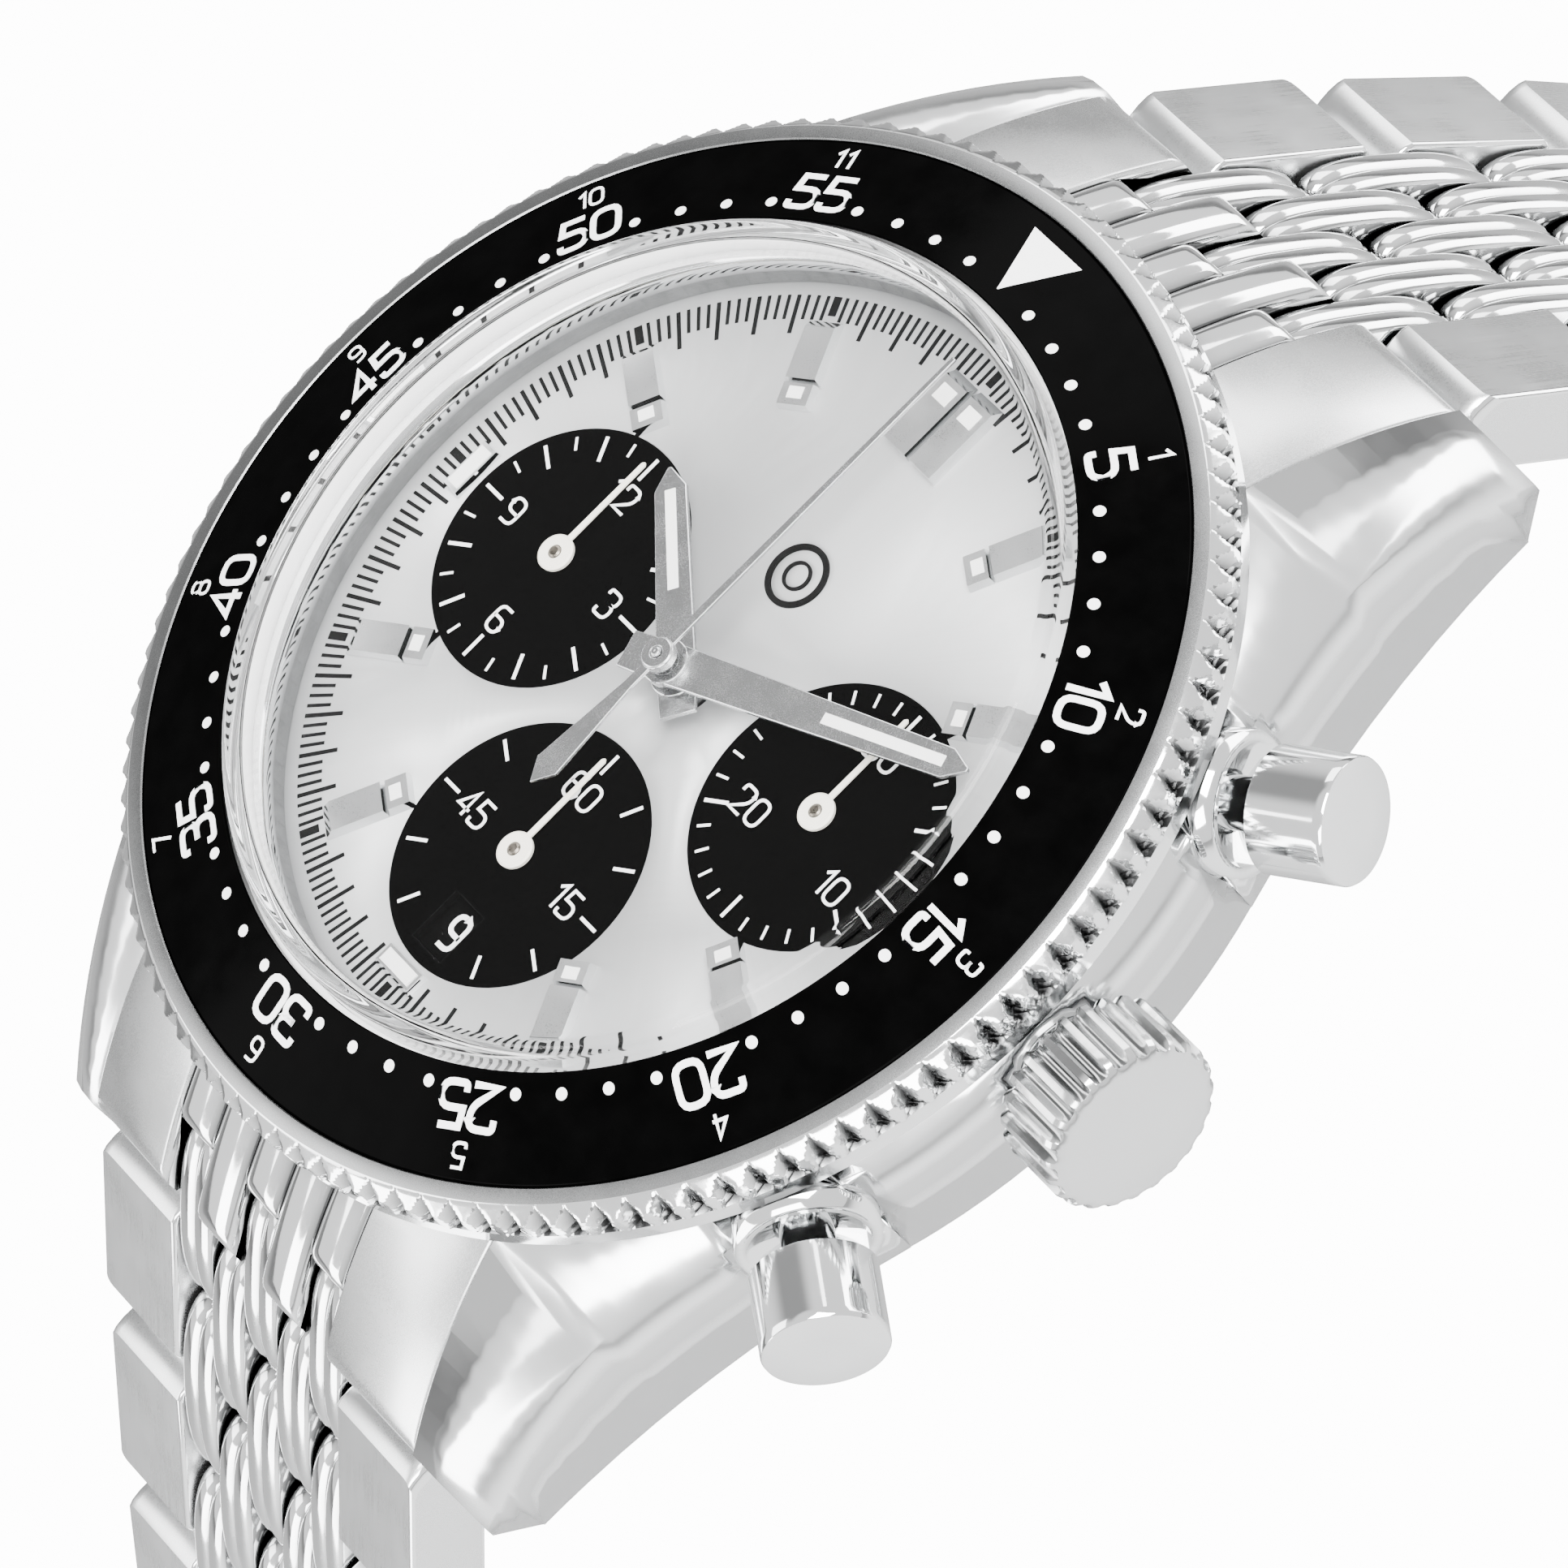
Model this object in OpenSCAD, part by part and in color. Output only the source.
// Chronograph wristwatch with a turning bezel, three sub-dials, a date window and a bead-of-rice bracelet.
// Millimetres. The origin is on the hand axis at the outer face of the caseback.
// +Z runs out through the crystal, +Y to 12 o'clock and +X to the crown at 3 o'clock.

/* [Case] */
// Diameter of the case middle
case_d = 41; // [40.8:0.1:41.2]
// Diameter over the coin edge of the bezel
bezel_d = 42; // [41.9:0.1:42.2]
// Number of teeth around the coin edge
coin_teeth = 114; // [100:2:120]
// Gap between the lugs, where the end links sit
lug_gap = 21; // [20.9:0.1:21.1]
// Reach of the lug tips from the hand axis
lug_reach = 24.9; // [24.8:0.1:25]
// Height of the crown and pusher axes above the caseback
crown_z = 7.8; // [7.7:0.1:7.9]
// Angle of each pusher from the crown
pusher_angle = 29; // [28:0.5:30]

/* [Dial and hands] */
// Diameter of the dial
dial_d = 31.5; // [31.3:0.1:31.5]
// Distance of the sub-dial centres from the hand axis
sub_dist = 8.1; // [8:0.05:8.2]
// Diameter of a sub-dial
sub_d = 10.06; // [9.9:0.02:10.1]
// Hour shown, with minutes as a fraction of an hour
shown_hour = 10.195; // [0:0.005:11.995]
// Length of the hour hand
hour_len = 8.2; // [7.8:0.1:8.4]
// Length of the minute hand
minute_len = 13.3; // [13:0.1:13.6]
// Length of the chronograph seconds hand
chrono_len = 14.1; // [13.8:0.1:14.4]

/* [Bracelet] */
// Distance between neighbouring bracelet pins
pitch = 4.2; // [4.2:0.05:4.25]
// Thickness of the bracelet
link_t = 3; // [2.8:0.1:3]
// Distance between neighbouring bead columns
column = 2.12; // [2.1:0.01:2.14]
// Width of the bracelet at the first outer link
band_w = 20.4; // [20:0.1:20.6]
// Loss of width from one outer link to the next
band_taper = 0.4; // [0.2:0.05:0.4]
// Width of the clasp
clasp_w = 18; // [17.6:0.1:18]
// Radius of the clasp's curve round the wrist
clasp_r = 55; // [54.5:0.1:55.5]

/* [Hidden] */
$fn = 96;

eps = 0.02;                    // assembly gap between pieces that touch
over = 1;                      // how far a cut runs past a face
case_r = case_d / 2;
bezel_r = bezel_d / 2;
x_in = lug_gap / 2;

// Levels of the stack, from the caseback up
back_top = 1.6;
bridge_z = 3.4;
bridge_t = 1.1;
plate_z = 6.4;
plate_top = 9.3;
dial_z = 9.8;
dial_top = 10.2;
case_top = 10.3;
neck_top = 12.75;
bezel_base = 10.45;
track_z = 13.6;                // height of the insert where its minute dots lie
track_r = 16.9;
insert_slope = tan(17.2);

// Radii of the case stack
bore_r = 16.3;
neck_r = 17.6;
crystal_r = 15.9;

// Where the movement's axes stand
fourth_at = [0, -sub_dist];
escape_at = fourth_at + 2.8 * [cos(200), sin(200)];
balance_at = [-8.3, -7.6];
fork_at = escape_at + 2.3 * [-0.969, 0.25];
barrel_at = [5.5, 6.5];
minute_wheel_at = [0, 2.9];

// Hand angles, clockwise from 12 o'clock
hour_angle = shown_hour * 30;
minute_angle = (shown_hour - floor(shown_hour)) * 360;

// Lug top along its inner face, as (y, z): the brushed curve, and the curve of the polished chamfer
top_curve = [[12, 11.5], [20.2, 8.32], [24.9, 4.57]];
chamfer_curve = [[15.4, 13.4], [20.3, 9.94], [24.9, 5.14]];
top_tilt = 20;
chamfer_tilt = 40;
crown_tilt = 7.8;
blend_y = 12;
flank = [[13.5, 24.9], [15.15, 18.5], [18.9, 8]];

// Bracelet: first pin, pin and bead radii, and the fall of each row below the horizontal,
// hanging open as it is drawn, and with the clasp shut
pin_0 = [22.65, 4.85];
pin_r = 0.45;
pin_bore = 0.5;
bar_r = 0.75;
bar_bore = 0.8;
bead_end_r = 2.03;
bead_w = 2.0;
link_x = 2.5 * column + 0.06;
fall_12 = [48, 50, 52, 54, 56, 58, 60, 60, 62, 62, 64, 64];
fall_6 = [55, 57, 58, 59, 60, 61, 62, 62, 64, 64, 66, 66];
shut_12 = [48, 50, 52, 54, 66, 82, 104, 104, 132, 132, 156, 156];
shut_6 = [55, 57, 58, 59, 66, 80, 100, 100, 128, 128, 152, 152];

// Clasp layers, as radii about the clasp's centre of curvature, and angles along it
clasp_floor = [clasp_r + 0.35, clasp_r + 1.5];
blade_m = [clasp_r - 0.55, clasp_r + 0.15];
blade_n = [clasp_r - 1.4, clasp_r - 0.7];
cover_end = 15;
hinge_a = [-13.5, clasp_r + 0.3];
hinge_b = [13, clasp_r - 0.5];
hinge_f = [-3.5, clasp_r + 2.0];
flap_end = -12.2;
knuckle_r = 0.75;

// ---------- shared shapes ----------

function circle_through(a, b, c) =
    let (
        d = 2 * (a[0] * (b[1] - c[1]) + b[0] * (c[1] - a[1]) + c[0] * (a[1] - b[1])),
        u = ((a * a) * (b[1] - c[1]) + (b * b) * (c[1] - a[1]) + (c * c) * (a[1] - b[1])) / d,
        v = ((a * a) * (c[0] - b[0]) + (b * b) * (a[0] - c[0]) + (c * c) * (b[0] - a[0])) / d
    )
    [u, v, norm([a[0] - u, a[1] - v])];

function pin(fall, n) = n == 0 ? pin_0 : pin(fall, n - 1) + pitch * [cos(fall[n - 1]), -sin(fall[n - 1])];

module disc(r, z0, z1) {
    translate([0, 0, z0]) cylinder(r = r, h = z1 - z0);
}

module ring(r_out, r_in, z0, z1) {
    difference() {
        disc(r_out, z0, z1);
        disc(r_in, z0 - over, z1 + over);
    }
}

// A shape drawn in Y and Z, drawn out along X
module along_x(x0, x1) {
    translate([x0, 0, 0]) rotate([90, 0, 90]) linear_extrude(x1 - x0) children();
}

// A round bar along X through (y, z)
module x_bar(r, x0, x1, at) {
    translate([x0, at[0], at[1]]) rotate([0, 90, 0]) cylinder(r = r, h = x1 - x0);
}

// A round bar along +X from the hand axis at the crown's height, turned about Z
module radial_bar(angle, r, d0, d1) {
    rotate([0, 0, angle]) x_bar(r, d0, d1, [0, crown_z]);
}

module in_four_corners() {
    for (sx = [0, 1])
        for (sy = [0, 1])
            mirror([sx, 0, 0]) mirror([0, sy, 0]) children();
}

module both_ends() {
    children();
    mirror([0, 1, 0]) children();
}

// Everything below a curve through three (y, z) points of the lug's inner face, falling sideways by tilt
module below_curve(points, tilt, lift = 0) {
    k = cos(tilt);
    p = [for (q = points) [q[0], (q[1] + lift) * k]];
    c = circle_through(p[0], p[1], p[2]);
    z_blend = c[1] + sqrt(c[2] * c[2] - pow(blend_y - c[0], 2));
    slope = (blend_y - c[0]) / (z_blend - c[1]);
    translate([x_in, 0, 0]) rotate([0, tilt, 0]) {
        intersection() {
            x_bar(c[2], -30, 30, [c[0], c[1]]);
            translate([-30, blend_y, -20]) cube([60, 20, 60]);
        }
        along_x(-30, 30)
            polygon([[-2, -20], [blend_y, -20], [blend_y, z_blend], [-2, z_blend + slope * (blend_y + 2)]]);
    }
}

// A toothed wheel outline with its first tooth on +X
module toothed(teeth, r_out, r_root, share = 0.42) {
    step = 360 / teeth;
    polygon([for (i = [0:teeth - 1]) each [
        r_root * [cos(step * (i - share / 2 - 0.12)), sin(step * (i - share / 2 - 0.12))],
        r_out * [cos(step * (i - share / 4)), sin(step * (i - share / 4))],
        r_out * [cos(step * (i + share / 4)), sin(step * (i + share / 4))],
        r_root * [cos(step * (i + share / 2 + 0.12)), sin(step * (i + share / 2 + 0.12))]]]);
}

// ---------- case ----------

module case_quadrant() {
    c = circle_through(flank[0], flank[1], flank[2]);
    intersection() {
        union() {
            intersection() {
                disc(case_r, 0, case_top);
                cube([case_r, case_r, case_top]);
            }
            difference() {
                translate([x_in, flank[2][1], 0]) cube([10, lug_reach - flank[2][1], 11]);
                translate([c[0], c[1], -over]) cylinder(r = c[2], h = 14);
            }
        }
        below_curve(top_curve, top_tilt);
        below_curve(chamfer_curve, chamfer_tilt);
    }
}

module case_middle() {
    arch_r = 79;
    arch_top = 4.6;
    color("gainsboro") difference() {
        union() {
            difference() {
                in_four_corners() case_quadrant();
                disc(bezel_r + 0.25, case_top, neck_top);
                x_bar(arch_r, -30, 30, [0, arch_top - arch_r]);
                both_ends() along_x(-30, 30)
                    polygon([[23.45, 1.1], [lug_reach, 2.2], [lug_reach + 1, 2.2], [lug_reach + 1, 0], [23.45, 0]]);
            }
            disc(17.3, 1.65, 5.5);
            disc(neck_r, case_top - over, neck_top);
        }
        disc(bore_r, 0, neck_top + over);
        radial_bar(0, 1.66, 15, 22);
        for (s = [-1, 1]) {
            radial_bar(s * pusher_angle, 1.52, 15, 20);
            radial_bar(s * pusher_angle, 2.52, 19.4, 26);
        }
        for (sy = [-1, 1])
            x_bar(0.55, -x_in - 1.4, x_in + 1.4, [sy * pin_0[0], pin_0[1]]);
    }
}

module caseback() {
    color("gainsboro") difference() {
        rotate_extrude() polygon([
            [12.8, 0], [16.7, 0], [17.1, 0.4], [17.1, back_top], [16.25, back_top], [16.25, 1.9], [15.8, 1.9],
            [15.8, 2.3], [16.25, 2.3], [16.25, 2.6], [15.3, 2.6], [15.3, back_top], [13.3, back_top],
            [13.3, 0.3], [12.8, 0.3]]);
        for (a = [0:60:300])
            rotate([0, 0, a]) translate([15.9, -0.8, -over]) cube([2, 1.6, over + 0.6]);
    }
}

module caseback_glass() {
    color("lightcyan") disc(13.25, 0.32, 1.55);
}

module crystal() {
    side_top = 13.95;
    dome = 0.35;
    dome_base = 14.6;
    dome_r = 15.5;
    inner_r = 15.2;
    ceiling = 13.45;
    ceiling_r = 14.7;
    steps = 10;
    outer = [for (i = [0:steps]) let (k = 1 - i / steps) [dome_r * k, dome_base + dome * (1 - k * k)]];
    inner = [for (i = [0:steps]) let (k = i / steps) [ceiling_r * k, ceiling + dome * (1 - k * k)]];
    color("aliceblue") rotate_extrude()
        polygon(concat([[inner_r, 12.4], [crystal_r, 12.4], [crystal_r, side_top]], outer, inner,
            [[inner_r, ceiling - 0.5]]));
}

module gaskets() {
    color("whitesmoke") ring(16.27, crystal_r + 0.03, 11.95, 13.1);
    color("dimgray") ring(16.27, 15.82, 1.92, 2.28);
}

module inner_flange() {
    color("silver") {
        ring(16.25, 15.55, dial_top + eps, 11.9);
        ring(crystal_r, 15.55, 11.8, 12.35);
    }
}

module case_tubes() {
    color("lightgray") difference() {
        union() {
            radial_bar(0, 1.65, 16.8, 22.9);
            for (s = [-1, 1]) {
                radial_bar(s * pusher_angle, 1.5, 16.6, 19.6);
                radial_bar(s * pusher_angle, 2.5, 19.42, 21.3);
            }
        }
        radial_bar(0, 0.7, 16, 24);
        for (s = [-1, 1]) {
            radial_bar(s * pusher_angle, 1.0, 16, 22);
            radial_bar(s * pusher_angle, 2.1, 20.5, 22);
        }
    }
}

module bezel_click_spring() {
    color("lightsteelblue") {
        difference() {
            ring(19.2, 18.4, case_top + eps, 10.7);
            translate([0, -1.5, 10]) cube([25, 3, 2]);
        }
        rotate([0, 0, 20]) translate([18.4, -0.4, 10.6]) cube([0.8, 0.8, 0.5]);
    }
}

// ---------- bezel ----------

module bezel_ring() {
    seat = 12.07;
    band_top = 11.2;
    tooth_base = 11.3;
    notch = 0.42;
    color("gainsboro") difference() {
        rotate_extrude() polygon([
            [neck_r + 0.08, 11.35], [19.9, 11.35], [19.9, bezel_base], [bezel_r - 0.1, bezel_base],
            [bezel_r - 0.1, band_top], [bezel_r, band_top], [bezel_r, 12.15], [bezel_r - 0.5, 12.6],
            [19.87, 12.7], [19.87, seat], [neck_r + 0.08, seat + (19.87 - neck_r - 0.08) * insert_slope]]);
        for (i = [0:coin_teeth - 1])
            rotate([0, 0, i * 360 / coin_teeth]) translate([bezel_r + 0.1, 0, tooth_base])
                linear_extrude(2) polygon([[-notch - 0.1, 0], [0.1, -0.55], [0.1, 0.55]]);
    }
}

module bezel_insert() {
    r0 = 16.15;
    r1 = 19.83;
    t = 0.58;
    top0 = track_z - (r0 - track_r) * insert_slope;
    top1 = track_z - (r1 - track_r) * insert_slope;
    color([0.03, 0.03, 0.03]) rotate_extrude()
        polygon([[r0, top0 - t], [r1, top1 - t], [r1, top1], [r0, top0]]);
}

// ---------- crown and pushers ----------

module crown() {
    r = 3.35;
    flutes = 24;
    color("gainsboro") difference() {
        intersection() {
            radial_bar(0, r, 21.6, 25.1);
            translate([25.1 - 20, 0, crown_z]) sphere(r = 20);
        }
        radial_bar(0, 1.75, 21, 23.6);
        radial_bar(0, 0.62, 21, 24.3);
        for (i = [0:flutes - 1])
            translate([0, 0, crown_z]) rotate([i * 360 / flutes, 0, 0])
                x_bar(0.3, 21, 24.6, [0, r + 0.08]);
    }
}

module winding_stem() {
    color("silver") radial_bar(0, 0.6, 9, 24.2);
}

module winding_pinion() {
    color("silver") translate([10, 0, crown_z]) rotate([90, 0, 90]) difference() {
        linear_extrude(1.9) toothed(16, 1.25, 1.0);
        translate([0, 0, -over]) cylinder(r = 0.66, h = 4);
    }
}

module pusher(angle) {
    color("gainsboro") {
        radial_bar(angle, 0.93, 15.7, 22.5);
        rotate([0, 0, angle]) translate([22.3, 0, crown_z]) rotate([0, 90, 0])
            rotate_extrude() polygon([[0, 0], [2.05, 0], [2.2, 0.15], [2.2, 2.95], [2.05, 3.1], [0, 3.1]]);
    }
}

module start_pusher() {
    pusher(pusher_angle);
}

module reset_pusher() {
    pusher(-pusher_angle);
}

// ---------- dial ----------

module at_sub_dials() {
    for (p = [[-sub_dist, 0], [sub_dist, 0], [0, -sub_dist]])
        translate([p[0], p[1], 0]) children();
}

module dial() {
    recess = 0.08;
    window_y = -sub_dist - 3.44;
    color("whitesmoke") difference() {
        disc(dial_d / 2, dial_z, dial_top);
        disc(1.02, dial_z - over, dial_top + over);
        at_sub_dials() {
            disc(sub_d / 2, dial_top - recess, dial_top + over);
            disc(0.35, dial_z - over, dial_top);
        }
        translate([-0.9, window_y - 1.1, dial_z - over]) cube([1.8, 2.2, 3]);
    }
}

module marker(w, r0, r1) {
    translate([-w / 2, r0, dial_top]) cube([w, r1 - r0, 0.32]);
}

module hour_markers() {
    bar_in = 10.6;
    bar_out = 14;
    color("silver") {
        for (h = [1, 2, 4, 5, 7, 8, 10, 11])
            rotate([0, 0, -30 * h]) marker(1.25, bar_in, bar_out);
        for (s = [-1, 1])
            translate([s * 0.73, 0, 0]) marker(1.34, bar_in, bar_out);
        rotate([0, 0, -90]) marker(2.0, 13.3, 14.2);
        rotate([0, 0, 180]) marker(2.4, 13.35, 14.05);
        rotate([0, 0, 90]) marker(2.0, 13.3, 14.2);
    }
}

// ---------- hands ----------

// A flat hand pointing to 12, with a roof-shaped tip
module baton(w, len, tip, tail, tail_w, z, t) {
    translate([0, 0, z]) linear_extrude(t)
        polygon([[-tail_w / 2, -tail], [tail_w / 2, -tail], [tail_w / 2, -0.6], [w / 2, 0.6], [w / 2, len - tip],
            [0.12, len], [-0.12, len], [-w / 2, len - tip], [-w / 2, 0.6], [-tail_w / 2, -0.6]]);
}

module hour_hand() {
    z = 11.0;
    color("silver") difference() {
        union() {
            rotate([0, 0, -hour_angle]) baton(1.35, hour_len, 0.75, 1.7, 1.05, z, 0.22);
            disc(0.95, z - 0.1, z + 0.3);
            disc(0.85, 9.42, z + 0.1);
            translate([0, 0, 9.42]) linear_extrude(0.24) toothed(40, 2.38, 2.16);
        }
        disc(0.56, 9, 12);
    }
}

module minute_hand() {
    z = 11.75;
    color("silver") difference() {
        union() {
            rotate([0, 0, -minute_angle]) baton(1.3, minute_len, 0.8, 1.9, 1.0, z, 0.22);
            disc(0.85, z - 0.1, z + 0.3);
            disc(0.5, 8.95, z + 0.1);
            translate([0, 0, 8.95]) linear_extrude(0.38) rotate(90) toothed(12, 0.79, 0.56);
        }
        disc(0.26, 8, 13);
    }
}

module minute_wheel() {
    color("goldenrod") translate([minute_wheel_at[0], minute_wheel_at[1], 0]) difference() {
        union() {
            translate([0, 0, 9.0]) linear_extrude(0.3) rotate(5) toothed(36, 2.23, 2.03);
            translate([0, 0, 9.3]) linear_extrude(0.4) toothed(10, 0.65, 0.4);
        }
        disc(0.24, 8.8, 10);
    }
}

module chrono_seconds_hand() {
    z = 12.4;
    paddle = 1.1;
    color("silver") {
        translate([0, 0, z]) linear_extrude(0.16) polygon([
            [-0.15, -3.2], [-paddle / 2, -4.3], [-paddle / 2, -5.7], [0, -6.1], [paddle / 2, -5.7],
            [paddle / 2, -4.3], [0.15, -3.2], [0.16, 0], [0.07, chrono_len], [-0.07, chrono_len], [-0.16, 0]]);
        disc(0.55, z - 0.12, z + 0.3);
        disc(0.2, 4.65, z + 0.1);
        translate([0, 0, 5.0]) linear_extrude(0.3) toothed(60, 3.6, 3.4);
    }
}

// A sub-dial hand on its arbor, with the wheel that drives it
module counter_hand(at, wheel_r, teeth) {
    z = 10.5;
    translate([at[0], at[1], 0]) {
        translate([-0.11, 0, z]) cube([0.22, 4.3, 0.1]);
        disc(0.7, z - 0.1, z + 0.14);
        disc(0.22, 4.65, z + 0.24);
        translate([0, 0, 5.5]) linear_extrude(0.3) toothed(teeth, wheel_r, wheel_r - 0.2);
    }
}

module running_seconds_hand() {
    color("ivory") counter_hand(fourth_at, 2.55, 60);
}

module minute_counter_hand() {
    color("ivory") counter_hand([sub_dist, 0], 2.2, 30);
}

module hour_counter_hand() {
    color("ivory") counter_hand([-sub_dist, 0], 2.0, 24);
}

module date_disc() {
    color([0.05, 0.05, 0.05]) ring(12.9, 10.35, 9.42, 9.66);
}

// ---------- movement ----------

screw_at = [[11.5, -8.2], [-13.2, 4.5], [-4.5, 13.2], [13.4, 4.0]];
cock_screw_at = [-12.6, -8.6];

module main_plate() {
    color("silver") difference() {
        union() {
            disc(16.2, plate_z, plate_top);
            ring(16.2, 13.3, plate_top, dial_z);
            translate([minute_wheel_at[0], minute_wheel_at[1], 0]) disc(0.2, 8.6, 9.7);
        }
        difference() {
            disc(6.2, 8.85, dial_z);
            translate([minute_wheel_at[0], minute_wheel_at[1], 0]) disc(0.2, 8, 9.7);
        }
        disc(0.62, 5, 10);
        at_sub_dials() disc(0.35, 5, 10);
        radial_bar(0, 0.75, 8.5, 17);
        translate([9.8, -1.45, plate_z - over]) cube([2.3, 2.9, 3.8]);
        for (s = [-1, 1])
            radial_bar(s * pusher_angle, 1.1, 14.2, 17);
        for (p = concat(screw_at, [cock_screw_at, balance_at, fork_at, escape_at]))
            translate([p[0], p[1], 0]) disc(0.42, plate_z - over, plate_z + 0.6);
    }
}

module train_bridge() {
    top = bridge_z + bridge_t;
    color("silver") difference() {
        union() {
            disc(15.6, bridge_z, top);
            ring(15.6, 15.0, bridge_z, plate_z);
            disc(1.0, 2.0, bridge_z + eps);
            for (p = screw_at)
                translate([p[0], p[1], 0]) disc(0.9, bridge_z, plate_z);
        }
        translate([balance_at[0], balance_at[1], bridge_z - over]) cylinder(r = 5.1, h = 6);
        rotate([0, 0, 221]) translate([9, -3.2, bridge_z - over]) cube([8, 6.4, 6]);
        for (p = screw_at) translate([p[0], p[1], 0]) {
            disc(0.42, bridge_z - over, plate_z + over);
            disc(0.9, bridge_z - over, bridge_z + 0.4);
        }
        translate([barrel_at[0], barrel_at[1], 0]) disc(0.62, bridge_z - over, top + over);
        for (p = [[-sub_dist, 0], [sub_dist, 0], fourth_at, escape_at])
            translate([p[0], p[1], 0]) disc(0.62, bridge_z - over, top + over);
    }
}

module balance_cock() {
    arm = balance_at - cock_screw_at;
    color("silver") difference() {
        union() {
            translate([balance_at[0], balance_at[1], 0]) disc(1.3, bridge_z, 3.9);
            translate([cock_screw_at[0], cock_screw_at[1], 0]) {
                disc(1, bridge_z, 3.9);
                disc(0.8, 3.85, plate_z);
            }
            translate([cock_screw_at[0], cock_screw_at[1], bridge_z]) rotate([0, 0, atan2(arm[1], arm[0])])
                translate([0, -0.9, 0]) cube([norm(arm), 1.8, 0.5]);
        }
        translate([balance_at[0], balance_at[1], 0]) disc(0.62, 3, 4.5);
        translate([cock_screw_at[0], cock_screw_at[1], 0]) disc(0.42, 3, plate_z + over);
        translate([cock_screw_at[0], cock_screw_at[1], 0]) disc(0.9, 3, bridge_z + 0.4);
    }
}

module movement_jewels() {
    color("crimson") for (p = [[-sub_dist, 0], [sub_dist, 0], fourth_at, escape_at, balance_at])
        translate([p[0], p[1], 0]) ring(0.6, 0.14, bridge_z + 0.02, bridge_z + 0.42);
}

module movement_screws() {
    color("steelblue") for (p = concat(screw_at, [cock_screw_at]))
        translate([p[0], p[1], 0]) difference() {
            union() {
                disc(0.86, bridge_z + 0.02, bridge_z + 0.38);
                disc(0.38, bridge_z + 0.1, plate_z + 0.55);
            }
            translate([-1, -0.11, bridge_z - over]) cube([2, 0.22, over + 0.2]);
        }
}

module balance_wheel() {
    color("goldenrod") translate([balance_at[0], balance_at[1], 0]) {
        ring(3.4, 2.85, 4.15, 4.55);
        for (a = [0:120:240])
            rotate([0, 0, a]) translate([0, -0.16, 4.2]) cube([3, 0.32, 0.2]);
        disc(0.45, 4.1, 4.6);
        disc(0.12, 3.46, 6.9);
        disc(0.5, 5.3, 5.45);
    }
}

module hairspring() {
    turns = 5;
    steps = 18;
    r0 = 0.6;
    r1 = 2.3;
    w = 0.07;
    z = 4.75;
    n = turns * steps;
    color("steelblue") translate([balance_at[0], balance_at[1], z]) linear_extrude(0.14) polygon(concat(
        [for (i = [0:n]) (r0 + (r1 - r0) * i / n) * [cos(i * 360 / steps), sin(i * 360 / steps)]],
        [for (i = [n:-1:0]) (r0 + w + (r1 - r0) * i / n) * [cos(i * 360 / steps), sin(i * 360 / steps)]]));
    color("steelblue") translate([balance_at[0], balance_at[1], 0]) ring(0.64, 0.14, z - 0.1, z + 0.13);
}

module pallet_fork() {
    lean = atan2(balance_at[1] - fork_at[1], balance_at[0] - fork_at[0]);
    color("silver") translate([fork_at[0], fork_at[1], 0]) rotate([0, 0, lean]) {
        translate([0, 0, 4.9]) linear_extrude(0.18)
            polygon([[-0.35, -1.5], [-0.15, -1.5], [0.25, -0.3], [2.5, -0.1], [2.85, -0.3], [2.95, -0.15],
                [2.7, 0], [2.95, 0.15], [2.85, 0.3], [2.5, 0.1], [0.25, 0.3], [-0.15, 1.5], [-0.35, 1.5],
                [-0.3, 0]]);
        disc(0.12, 4.7, 6.9);
    }
}

module escape_wheel() {
    teeth = 20;
    color("silver") translate([escape_at[0], escape_at[1], 0]) difference() {
        union() {
            translate([0, 0, 4.6]) linear_extrude(0.2)
                polygon([for (i = [0:teeth - 1]) each [
                    1.3 * [cos(i * 360 / teeth), sin(i * 360 / teeth)],
                    1.7 * [cos((i + 0.25) * 360 / teeth), sin((i + 0.25) * 360 / teeth)],
                    1.3 * [cos((i + 0.4) * 360 / teeth), sin((i + 0.4) * 360 / teeth)]]]);
            disc(0.12, 3.5, 6.9);
            disc(0.2, 5.3, 5.9);
        }
        for (a = [0:90:270])
            rotate([0, 0, a]) translate([0.72, 0, 4]) cylinder(r = 0.3, h = 1);
    }
}

module rotor() {
    rim_in = 12.4;
    rim_out = 14.8;
    color("silver") difference() {
        union() {
            ring(2.4, 1.08, 2.0, 2.6);
            difference() {
                union() {
                    ring(rim_out, rim_in, 1.85, 3.2);
                    ring(rim_in + 0.1, 2.2, 2.25, 2.6);
                }
                translate([-20, 0, 0]) cube([40, 20, 5]);
                for (a = [-150, -90, -30]) rotate([0, 0, a]) intersection() {
                    ring(11.4, 4.2, 1, 4);
                    linear_extrude(5) polygon([[0, 0], [20, -20 * tan(22)], [20, 20 * tan(22)]]);
                }
            }
        }
    }
}

module barrel() {
    color("goldenrod") translate([barrel_at[0], barrel_at[1], 0]) {
        disc(4.3, 4.75, 6.2);
        disc(0.55, 2.8, 6.3);
        difference() {
            translate([0, 0, 2.85]) linear_extrude(0.42) toothed(48, 3.6, 3.35);
            for (a = [0:60:300])
                rotate([0, 0, a]) translate([2.1, 0, 2]) cylinder(r = 0.55, h = 2);
        }
    }
}

// ---------- bracelet ----------

module spring_bars() {
    color("silver") for (sy = [-1, 1]) {
        x_bar(bar_r, -x_in + 0.12, x_in - 0.12, [sy * pin_0[0], pin_0[1]]);
        x_bar(pin_r, -x_in - 1.2, x_in + 1.2, [sy * pin_0[0], pin_0[1]]);
    }
}

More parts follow.
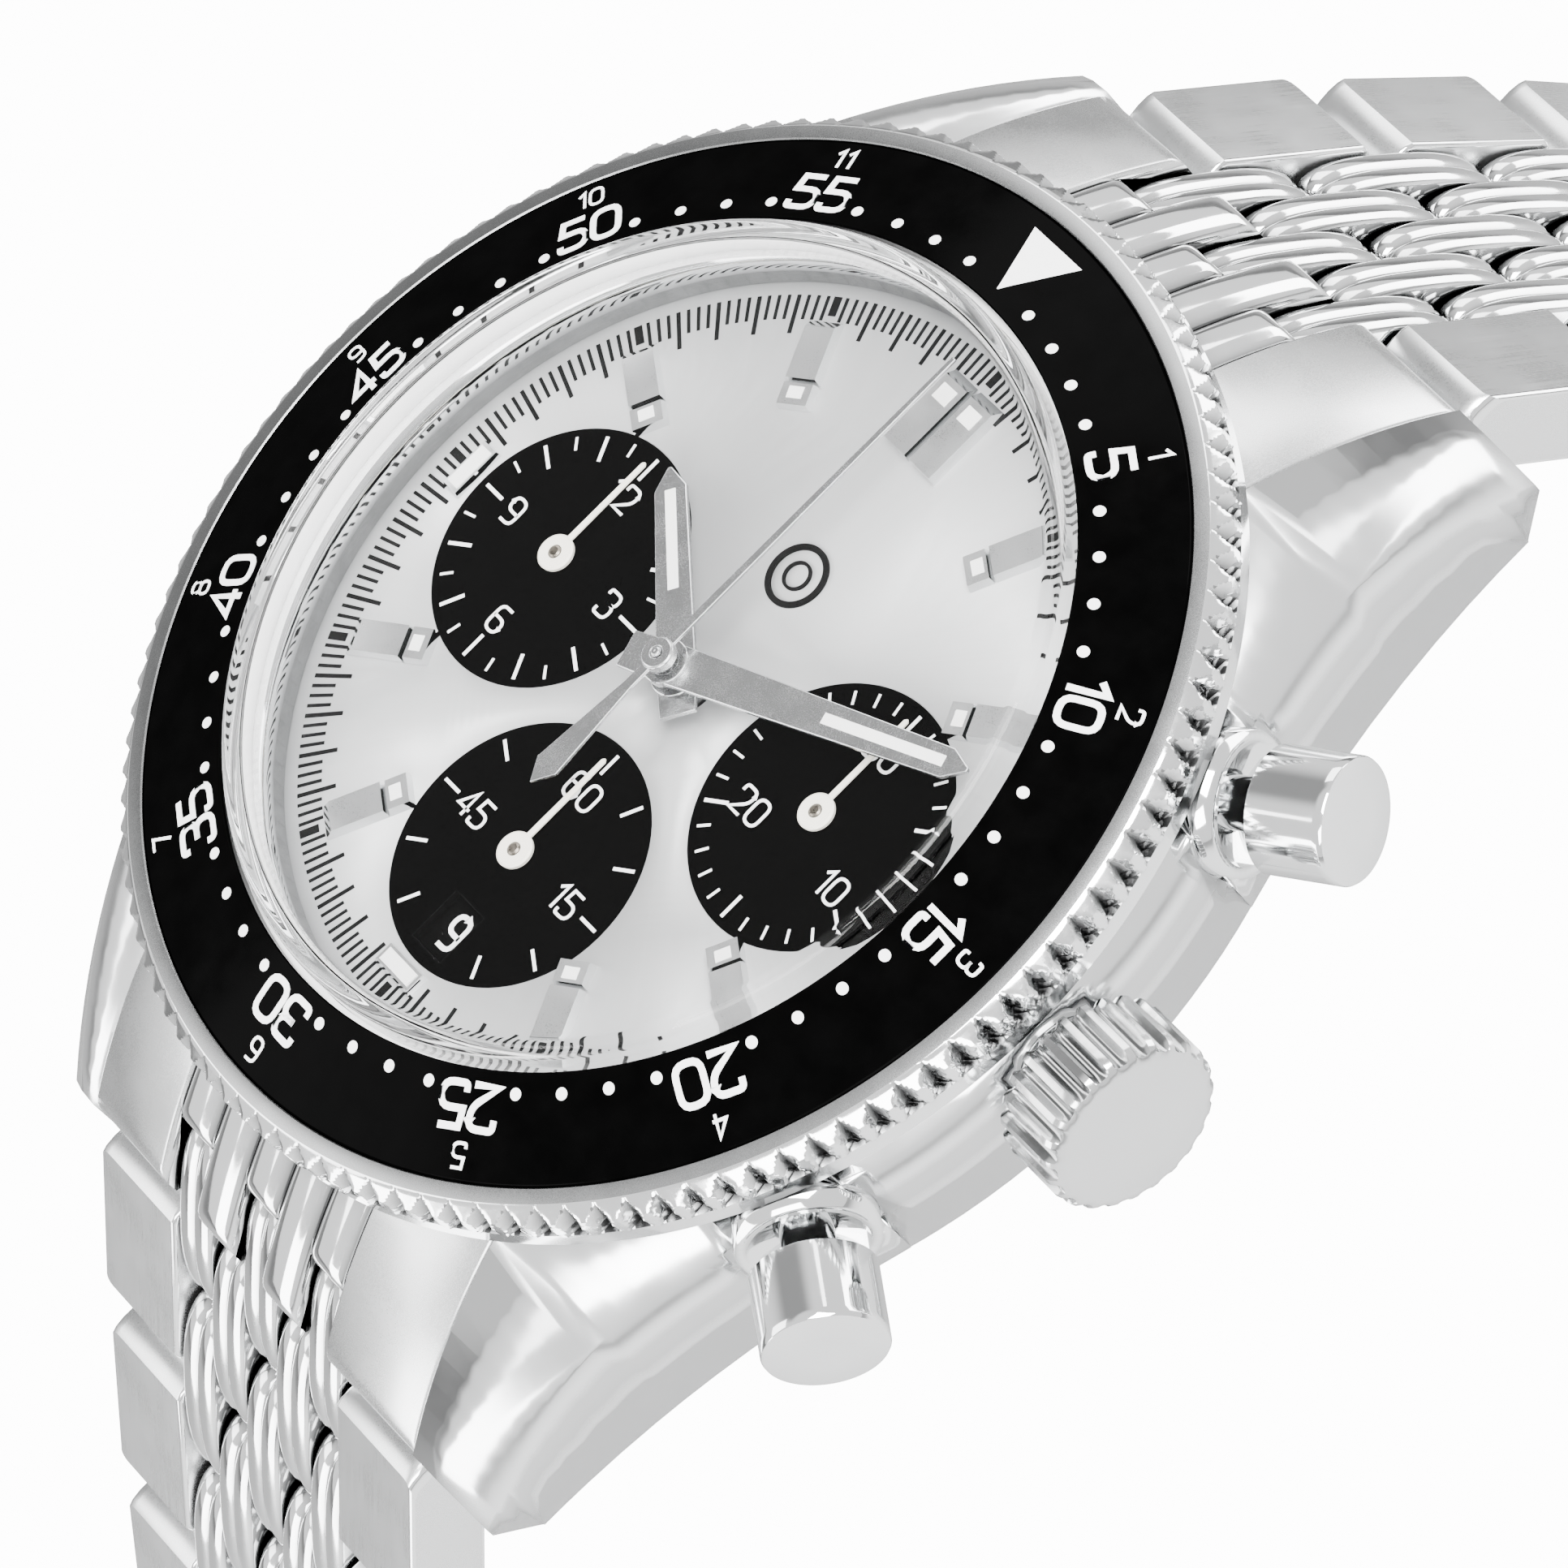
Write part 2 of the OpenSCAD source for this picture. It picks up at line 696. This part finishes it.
// Columns of the end link: outer flats and the ribs that stay long; the other ribs stop above the first beads
module end_link() {
    side = x_in - 0.08;
    rib_lift = 0.7;
    difference() {
        union() {
            for (s = [0, 1]) mirror([s, 0, 0]) intersection() {
                below_curve(top_curve, crown_tilt);
                translate([link_x, 14, 2.6]) cube([side - link_x, lug_reach - 14.05, 12]);
            }
            intersection() {
                below_curve(top_curve, 0, rib_lift);
                translate([-link_x, 19, 4.6]) cube([2 * link_x, 4.6, 12]);
            }
            for (s = [-1, 1]) intersection() {
                below_curve(top_curve, 0, rib_lift);
                translate([s * column - bead_w / 2, 19, 2.6]) cube([bead_w, lug_reach - 19.05, 12]);
            }
        }
        disc(case_r + 0.05, 0, 12);
        disc(bezel_r + 0.3, 10, 14);
        for (i = [-2, 0, 2])
            x_bar(bead_end_r + 0.12, i * column - column / 2 - 0.06, i * column + column / 2 + 0.06, pin_0);
        for (i = [-2, 0, 2])
            translate([i * column - column / 2 - 0.06, pin_0[0] + 0.4, 0]) cube([column + 0.12, 4, 12]);
        along_x(-12, 12) polygon([[22.2, 2], [lug_reach + 1, 2], [lug_reach + 1, 4.3], [24.55, 4.1], [23.4, 2.9]]);
        x_bar(bar_bore, -12, 12, pin_0);
    }
}

module end_links() {
    color("gainsboro") both_ends() end_link();
}

// A rounded bar between two pins one pitch apart, cut flat above and below
module link_body(x0, x1, r0, r1) {
    difference() {
        intersection() {
            union() {
                x_bar(bead_end_r, x0, x1, [0, 0]);
                x_bar(bead_end_r, x0, x1, [pitch, 0]);
                translate([x0, 0, -link_t / 2]) cube([x1 - x0, pitch, link_t]);
            }
            translate([x0 - over, -3, -link_t / 2]) cube([x1 - x0 + 2 * over, pitch + 6, link_t]);
        }
        if (r0 > 0) x_bar(r0, x0 - over, x1 + over, [0, 0]);
        if (r1 > 0) x_bar(r1, x0 - over, x1 + over, [pitch, 0]);
    }
}

module row_at(fall, n) {
    p = pin(fall, n);
    translate([0, p[0], p[1]]) rotate([-fall[n], 0, 0]) children();
}

// Three beads hanging on the pins of their neighbours
module bead_row(fall, n) {
    row_at(fall, n) for (i = [-2, 0, 2])
        link_body(i * column - bead_w / 2, i * column + bead_w / 2, n == 0 ? bar_bore : pin_bore, pin_bore);
}

// Two outer links and two beads, held together by both pins
module link_row(fall, n) {
    half_w = band_w / 2 - band_taper / 2 * (n - 1) / 2;
    row_at(fall, n) {
        for (s = [-1, 1])
            link_body(s * column - bead_w / 2, s * column + bead_w / 2, 0, 0);
        link_body(link_x, half_w, 0, 0);
        link_body(-half_w, -link_x, 0, 0);
        for (y = [0, pitch])
            x_bar(pin_r, -half_w + 0.3, half_w - 0.3, [y, 0]);
    }
}

module link_pair(fall, n) {
    bead_row(fall, n);
    link_row(fall, n + 1);
}

module side_12() {
    color("gainsboro") children();
}

module side_6() {
    color("gainsboro") mirror([0, 1, 0]) children();
}

module bracelet_12_beads_1() { side_12() bead_row(fall_12, 0); }
module bracelet_12_links_1() { side_12() link_row(fall_12, 1); }
module bracelet_12_beads_2() { side_12() bead_row(fall_12, 2); }
module bracelet_12_links_2() { side_12() link_row(fall_12, 3); }
module bracelet_12_beads_3() { side_12() bead_row(fall_12, 4); }
module bracelet_12_links_3() { side_12() link_row(fall_12, 5); }
module bracelet_12_pair_4() { side_12() link_pair(fall_12, 6); }
module bracelet_12_pair_5() { side_12() link_pair(fall_12, 8); }
module bracelet_12_pair_6() { side_12() link_pair(fall_12, 10); }
module bracelet_6_beads_1() { side_6() bead_row(fall_6, 0); }
module bracelet_6_links_1() { side_6() link_row(fall_6, 1); }
module bracelet_6_beads_2() { side_6() bead_row(fall_6, 2); }
module bracelet_6_links_2() { side_6() link_row(fall_6, 3); }
module bracelet_6_beads_3() { side_6() bead_row(fall_6, 4); }
module bracelet_6_links_3() { side_6() link_row(fall_6, 5); }
module bracelet_6_pair_4() { side_6() link_pair(fall_6, 6); }
module bracelet_6_pair_5() { side_6() link_pair(fall_6, 8); }
module bracelet_6_pair_6() { side_6() link_pair(fall_6, 10); }

// ---------- clasp ----------
// The clasp is drawn about the middle of the line between the bracelet's last two pins, with +Y to the 12 side.
// It hangs folded from the 12 side, and reaches the last pin of the 6 side when the bracelet is shut.

shut_end_12 = pin(shut_12, 12);
shut_end_6 = [-pin(shut_6, 12)[0], pin(shut_6, 12)[1]];
across = shut_end_12 - shut_end_6;
chord = norm(across);
clasp_h = sqrt(clasp_r * clasp_r - chord * chord / 4);
end_angle = asin(chord / 2 / clasp_r);

module clasp_frame() {
    end = pin(fall_12, 12);
    swing = shut_12[11] - fall_12[11];
    translate([0, end[0], end[1]]) rotate([atan2(across[1], across[0]) + swing, 0, 0])
        translate([0, -chord / 2, 0]) children();
}

function clasp_point(a, r) = [r * sin(a), clasp_h - r * cos(a)];

// A curved plate between two angles and two radii
module arc_plate(radii, a0, a1, x0, x1) {
    far = 80;
    intersection() {
        difference() {
            x_bar(radii[1], x0, x1, [0, clasp_h]);
            x_bar(radii[0], x0 - over, x1 + over, [0, clasp_h]);
        }
        along_x(x0, x1) polygon([[0, clasp_h], clasp_point(a0, far), clasp_point(a1, far)]);
    }
}

// The clasp's end block with three knuckles reaching to the bracelet's last pin
module clasp_end(s, a_inner, short) {
    layer = [clasp_r - 1.4, clasp_r + 1.5];
    root = end_angle - (short ? 3.2 : 2.25);
    stop = end_angle - (short ? 1.6 : 0);
    a0 = s > 0 ? a_inner : -root;
    a1 = s > 0 ? root : -a_inner;
    arc_plate(layer, a0, a1, -clasp_w / 2, clasp_w / 2);
    for (i = [-2, 0, 2]) {
        x0 = i * column - bead_w / 2;
        if (s > 0) arc_plate(layer, root - 0.1, stop, x0, x0 + bead_w);
        else arc_plate(layer, -stop, -root + 0.1, x0, x0 + bead_w);
        if (!short) intersection() {
            x_bar(bead_end_r, x0, x0 + bead_w, clasp_point(s * end_angle, clasp_r));
            difference() {
                x_bar(layer[1], x0 - over, x0 + bead_w + over, [0, clasp_h]);
                x_bar(layer[0], x0 - 2 * over, x0 + bead_w + 2 * over, [0, clasp_h]);
            }
        }
    }
}

module clasp_cover() {
    wall = 1.1;
    half = clasp_w / 2;
    color("gainsboro") clasp_frame() difference() {
        union() {
            arc_plate(clasp_floor, -12.4, cover_end, -half, half);
            for (x = [-half, half - wall])
                arc_plate([clasp_r - 1.4, clasp_floor[1]], -cover_end, cover_end, x, x + wall);
            clasp_end(1, cover_end - 0.1, false);
            x_bar(0.4, -half + 0.5, half - 0.5, clasp_point(hinge_a[0], hinge_a[1]));
            for (x = [-7.4, 6.3])
                x_bar(0.62, x, x + 1.1, clasp_point(hinge_f[0], hinge_f[1]));
        }
        x_bar(pin_bore, -10, 10, clasp_point(end_angle, clasp_r));
        x_bar(0.32, -6.9, 6.9, clasp_point(hinge_f[0], hinge_f[1]));
    }
}

module clasp_safety_flap() {
    color("gainsboro") clasp_frame() {
        arc_plate([clasp_floor[1] + 0.1, clasp_floor[1] + 0.9], flap_end, hinge_f[0] - 0.7, -6.1, 6.1);
        arc_plate([clasp_floor[1] + 0.12, clasp_floor[1] + 0.8], hinge_f[0] - 0.8, hinge_f[0], -6.1, 6.1);
        x_bar(0.42, -6.1, 6.1, clasp_point(hinge_f[0], hinge_f[1]));
        x_bar(0.26, -6.8, 6.8, clasp_point(hinge_f[0], hinge_f[1]));
    }
}

module clasp_middle_blade() {
    a = clasp_point(hinge_a[0], hinge_a[1]);
    b = clasp_point(hinge_b[0], hinge_b[1]);
    color("silver") clasp_frame() difference() {
        union() {
            arc_plate(blade_m, -13.2, 12, -6.8, 6.8);
            arc_plate(blade_m, 11.9, hinge_b[0], -2.9, 2.9);
            x_bar(0.85, -6.8, 6.8, a);
            x_bar(knuckle_r, -2.9, 2.9, b);
        }
        x_bar(0.46, -7, 7, a);
        x_bar(0.42, -4, 4, b);
        arc_plate([clasp_r - 2, clasp_r + 1], -6, 6, -2.2, 2.2);
    }
}

module clasp_end_blade() {
    b = clasp_point(hinge_b[0], hinge_b[1]);
    color("silver") clasp_frame() {
        difference() {
            arc_plate(blade_n, -cover_end - 1.5, 11.6, -6.8, 6.8);
            arc_plate([clasp_r - 3, clasp_r], -6, 6, -2.2, 2.2);
        }
        for (x = [-6.8, 3.05]) {
            arc_plate(blade_n, 11.5, hinge_b[0], x, x + 3.75);
            x_bar(knuckle_r, x, x + 3.75, b);
        }
        x_bar(0.36, -6.5, 6.5, b);
        clasp_end(-1, cover_end + 1.3, true);
    }
}

// ---------- one line per piece ----------

case_middle();
caseback();
caseback_glass();
crystal();
gaskets();
inner_flange();
case_tubes();
bezel_click_spring();
dial();
hour_markers();
main_plate();
train_bridge();
balance_cock();
movement_jewels();
movement_screws();
end_links();
spring_bars();
bezel_ring();
bezel_insert();
winding_pinion();
crown();
winding_stem();
start_pusher();
reset_pusher();
hour_hand();
minute_hand();
minute_wheel();
chrono_seconds_hand();
running_seconds_hand();
minute_counter_hand();
hour_counter_hand();
date_disc();
balance_wheel();
hairspring();
pallet_fork();
escape_wheel();
rotor();
barrel();
bracelet_12_beads_1();
bracelet_12_links_1();
bracelet_12_beads_2();
bracelet_12_links_2();
bracelet_12_beads_3();
bracelet_12_links_3();
bracelet_12_pair_4();
bracelet_12_pair_5();
bracelet_12_pair_6();
bracelet_6_beads_1();
bracelet_6_links_1();
bracelet_6_beads_2();
bracelet_6_links_2();
bracelet_6_beads_3();
bracelet_6_links_3();
bracelet_6_pair_4();
bracelet_6_pair_5();
bracelet_6_pair_6();
clasp_cover();
clasp_safety_flap();
clasp_middle_blade();
clasp_end_blade();
